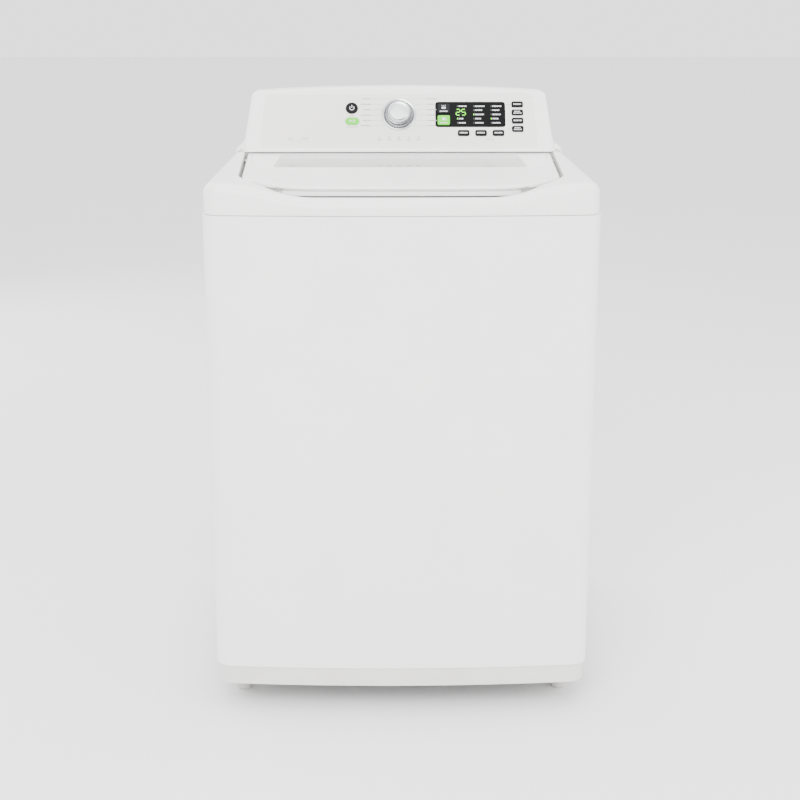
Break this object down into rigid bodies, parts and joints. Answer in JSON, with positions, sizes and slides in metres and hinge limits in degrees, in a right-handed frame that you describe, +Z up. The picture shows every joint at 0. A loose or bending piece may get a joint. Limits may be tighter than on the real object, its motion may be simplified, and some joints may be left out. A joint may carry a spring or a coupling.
{
  "type": "top load washing machine",
  "caption": "White top-load washing machine: bowed cabinet, glass-windowed lid, leaning console with keys and dial, sprung tub with spin basket and wash plate.",
  "frame": {"origin": "floor, under the middle of the outer box", "axes": "+X right when facing the front, +Y towards the wall behind, +Z up"},
  "size_m": [0.686, 0.6999, 1.1],
  "materials": {
    "white_enamel": "gloss enamel",
    "zinc_steel": "zinc-plated steel",
    "white_plastic": "satin white moulding",
    "base_plastic": "fine-grained moulding",
    "foot_plastic": "fine-grained moulding",
    "fascia_film": "printed satin film",
    "black_gloss": "gloss black window",
    "dark_key": "satin dark keycap",
    "green_key": "bright green keycap",
    "tinted_glass": "polished tempered glass",
    "soft_rubber": "moulded rubber",
    "circuit_board": "solder mask",
    "knob_silver": "satin metallised",
    "knob_dark": "satin moulding",
    "tub_plastic": "fine-grained moulding",
    "basket_steel": "stainless steel",
    "grey_plastic": "fine-grained moulding",
    "cast_aluminium": "as-cast"
  },
  "bodies": {
    "cabinet": {"cabinet_shell": "white_enamel", "rear_panel": "zinc_steel", "rear_access_cover": "zinc_steel", "fasteners": "zinc_steel", "base_frame": "base_plastic", "top_cover": "white_plastic", "mouth_ring": "white_plastic", "lid_hinge_pins": "zinc_steel", "lid_bumpers": "soft_rubber", "lid_lock": "grey_plastic", "console_shell": "white_plastic", "console_back": "white_plastic", "control_fascia": "fascia_film", "display_window": "black_gloss", "control_board": "circuit_board", "knob_bezel": "knob_silver", "inlet_valve": "grey_plastic", "water_spout": "grey_plastic", "pressure_switch": "grey_plastic", "corner_brackets": "zinc_steel", "suspension_rods": "zinc_steel", "drain_hose": "soft_rubber", "cord_gland": "grey_plastic"},
    "lid": {"lid_frame": "white_plastic", "lid_liner": "white_plastic", "lid_grip_and_strike": "white_plastic", "lid_glass": "tinted_glass", "lid_seal": "soft_rubber"},
    "knob": {"knob_skirt": "knob_dark", "knob_cap": "knob_silver"},
    "tub": {"outer_tub": "tub_plastic", "tub_ring": "tub_plastic", "gearcase": "cast_aluminium", "bearings": "zinc_steel", "motor": "cast_aluminium", "drive_belt": "soft_rubber", "drain_pump": "grey_plastic", "suspension_springs": "zinc_steel"},
    "basket": {"basket": "basket_steel", "balance_ring": "tub_plastic", "basket_hub": "cast_aluminium"},
    "wash_plate": {"wash_plate": "tub_plastic", "drive_shaft": "zinc_steel", "drive_pulley": "cast_aluminium"},
    "motor_pulley": {"motor_pulley": "cast_aluminium"},
    "power_button": {"power_button": "dark_key"},
    "start_button": {"start_button": "green_key"},
    "option_key_1": {"option_key_1": "dark_key"},
    "option_key_2": {"option_key_2": "dark_key"},
    "option_key_3": {"option_key_3": "dark_key"},
    "setting_key_1": {"setting_key_1": "dark_key"},
    "setting_key_2": {"setting_key_2": "dark_key"},
    "setting_key_3": {"setting_key_3": "dark_key"},
    "setting_key_4": {"setting_key_4": "dark_key"},
    "mode_key_upper": {"mode_key_upper": "dark_key"},
    "mode_key_lower": {"mode_key_lower": "green_key"},
    "foot_front_left": {"foot_front_left": "foot_plastic"},
    "foot_front_right": {"foot_front_right": "foot_plastic"},
    "foot_rear_left": {"foot_rear_left": "foot_plastic"},
    "foot_rear_right": {"foot_rear_right": "foot_plastic"}
  },
  "joints": [
    {"name": "lid_hinge", "type": "hinge", "parent": "cabinet", "child": "lid", "pos_m": [0, 0.176, 0.957], "axis": [-1, 0, 0], "range_deg": [0, 100]},
    {"name": "knob_turn", "type": "hinge", "parent": "cabinet", "child": "knob", "pos_m": [0, 0.237, 1.04609], "axis": [0, -0.866, 0.5], "continuous": true},
    {"name": "tub_bounce", "type": "slide", "parent": "cabinet", "child": "tub", "axis": [0, 0, 1], "range_m": [-0.02, 0.01], "stiffness_N_per_m": 16000, "springref_m": 0.01825, "deforming": ["suspension_springs"]},
    {"name": "basket_spin", "type": "hinge", "parent": "tub", "child": "basket", "pos_m": [0, -0.012, 0.5], "axis": [0, 0, 1], "continuous": true},
    {"name": "wash_plate_spin", "type": "hinge", "parent": "tub", "child": "wash_plate", "pos_m": [0, -0.012, 0.34], "axis": [0, 0, 1], "continuous": true},
    {"name": "motor_pulley_spin", "type": "hinge", "parent": "tub", "child": "motor_pulley", "pos_m": [-0.165, -0.012, 0.173], "axis": [0, 0, 1], "continuous": true},
    {"name": "power_press", "type": "slide", "parent": "cabinet", "child": "power_button", "axis": [0, 0.866, -0.5], "range_m": [0, 0.0015], "stiffness_N_per_m": 600, "springref_m": -0.002},
    {"name": "start_press", "type": "slide", "parent": "cabinet", "child": "start_button", "axis": [0, 0.866, -0.5], "range_m": [0, 0.0015], "stiffness_N_per_m": 600, "springref_m": -0.002},
    {"name": "option_key_1_press", "type": "slide", "parent": "cabinet", "child": "option_key_1", "axis": [0, 0.866, -0.5], "range_m": [0, 0.0015], "stiffness_N_per_m": 600, "springref_m": -0.002},
    {"name": "option_key_2_press", "type": "slide", "parent": "cabinet", "child": "option_key_2", "axis": [0, 0.866, -0.5], "range_m": [0, 0.0015], "stiffness_N_per_m": 600, "springref_m": -0.002},
    {"name": "option_key_3_press", "type": "slide", "parent": "cabinet", "child": "option_key_3", "axis": [0, 0.866, -0.5], "range_m": [0, 0.0015], "stiffness_N_per_m": 600, "springref_m": -0.002},
    {"name": "setting_key_1_press", "type": "slide", "parent": "cabinet", "child": "setting_key_1", "axis": [0, 0.866, -0.5], "range_m": [0, 0.0015], "stiffness_N_per_m": 600, "springref_m": -0.002},
    {"name": "setting_key_2_press", "type": "slide", "parent": "cabinet", "child": "setting_key_2", "axis": [0, 0.866, -0.5], "range_m": [0, 0.0015], "stiffness_N_per_m": 600, "springref_m": -0.002},
    {"name": "setting_key_3_press", "type": "slide", "parent": "cabinet", "child": "setting_key_3", "axis": [0, 0.866, -0.5], "range_m": [0, 0.0015], "stiffness_N_per_m": 600, "springref_m": -0.002},
    {"name": "setting_key_4_press", "type": "slide", "parent": "cabinet", "child": "setting_key_4", "axis": [0, 0.866, -0.5], "range_m": [0, 0.0015], "stiffness_N_per_m": 600, "springref_m": -0.002},
    {"name": "mode_key_upper_press", "type": "slide", "parent": "cabinet", "child": "mode_key_upper", "axis": [0, 0.866, -0.5], "range_m": [0, 0.0015], "stiffness_N_per_m": 600, "springref_m": -0.002},
    {"name": "mode_key_lower_press", "type": "slide", "parent": "cabinet", "child": "mode_key_lower", "axis": [0, 0.866, -0.5], "range_m": [0, 0.0015], "stiffness_N_per_m": 600, "springref_m": -0.002},
    {"name": "foot_front_left_level", "type": "slide", "parent": "cabinet", "child": "foot_front_left", "axis": [0, 0, 1], "range_m": [-0.02, 0]},
    {"name": "foot_front_right_level", "type": "slide", "parent": "cabinet", "child": "foot_front_right", "axis": [0, 0, 1], "range_m": [-0.02, 0]},
    {"name": "foot_rear_left_level", "type": "slide", "parent": "cabinet", "child": "foot_rear_left", "axis": [0, 0, 1], "range_m": [-0.02, 0]},
    {"name": "foot_rear_right_level", "type": "slide", "parent": "cabinet", "child": "foot_rear_right", "axis": [0, 0, 1], "range_m": [-0.02, 0]}
  ],
  "couplings": [
    {"joint": "motor_pulley_spin", "follows": "wash_plate_spin", "ratio": 3.6667}
  ]
}
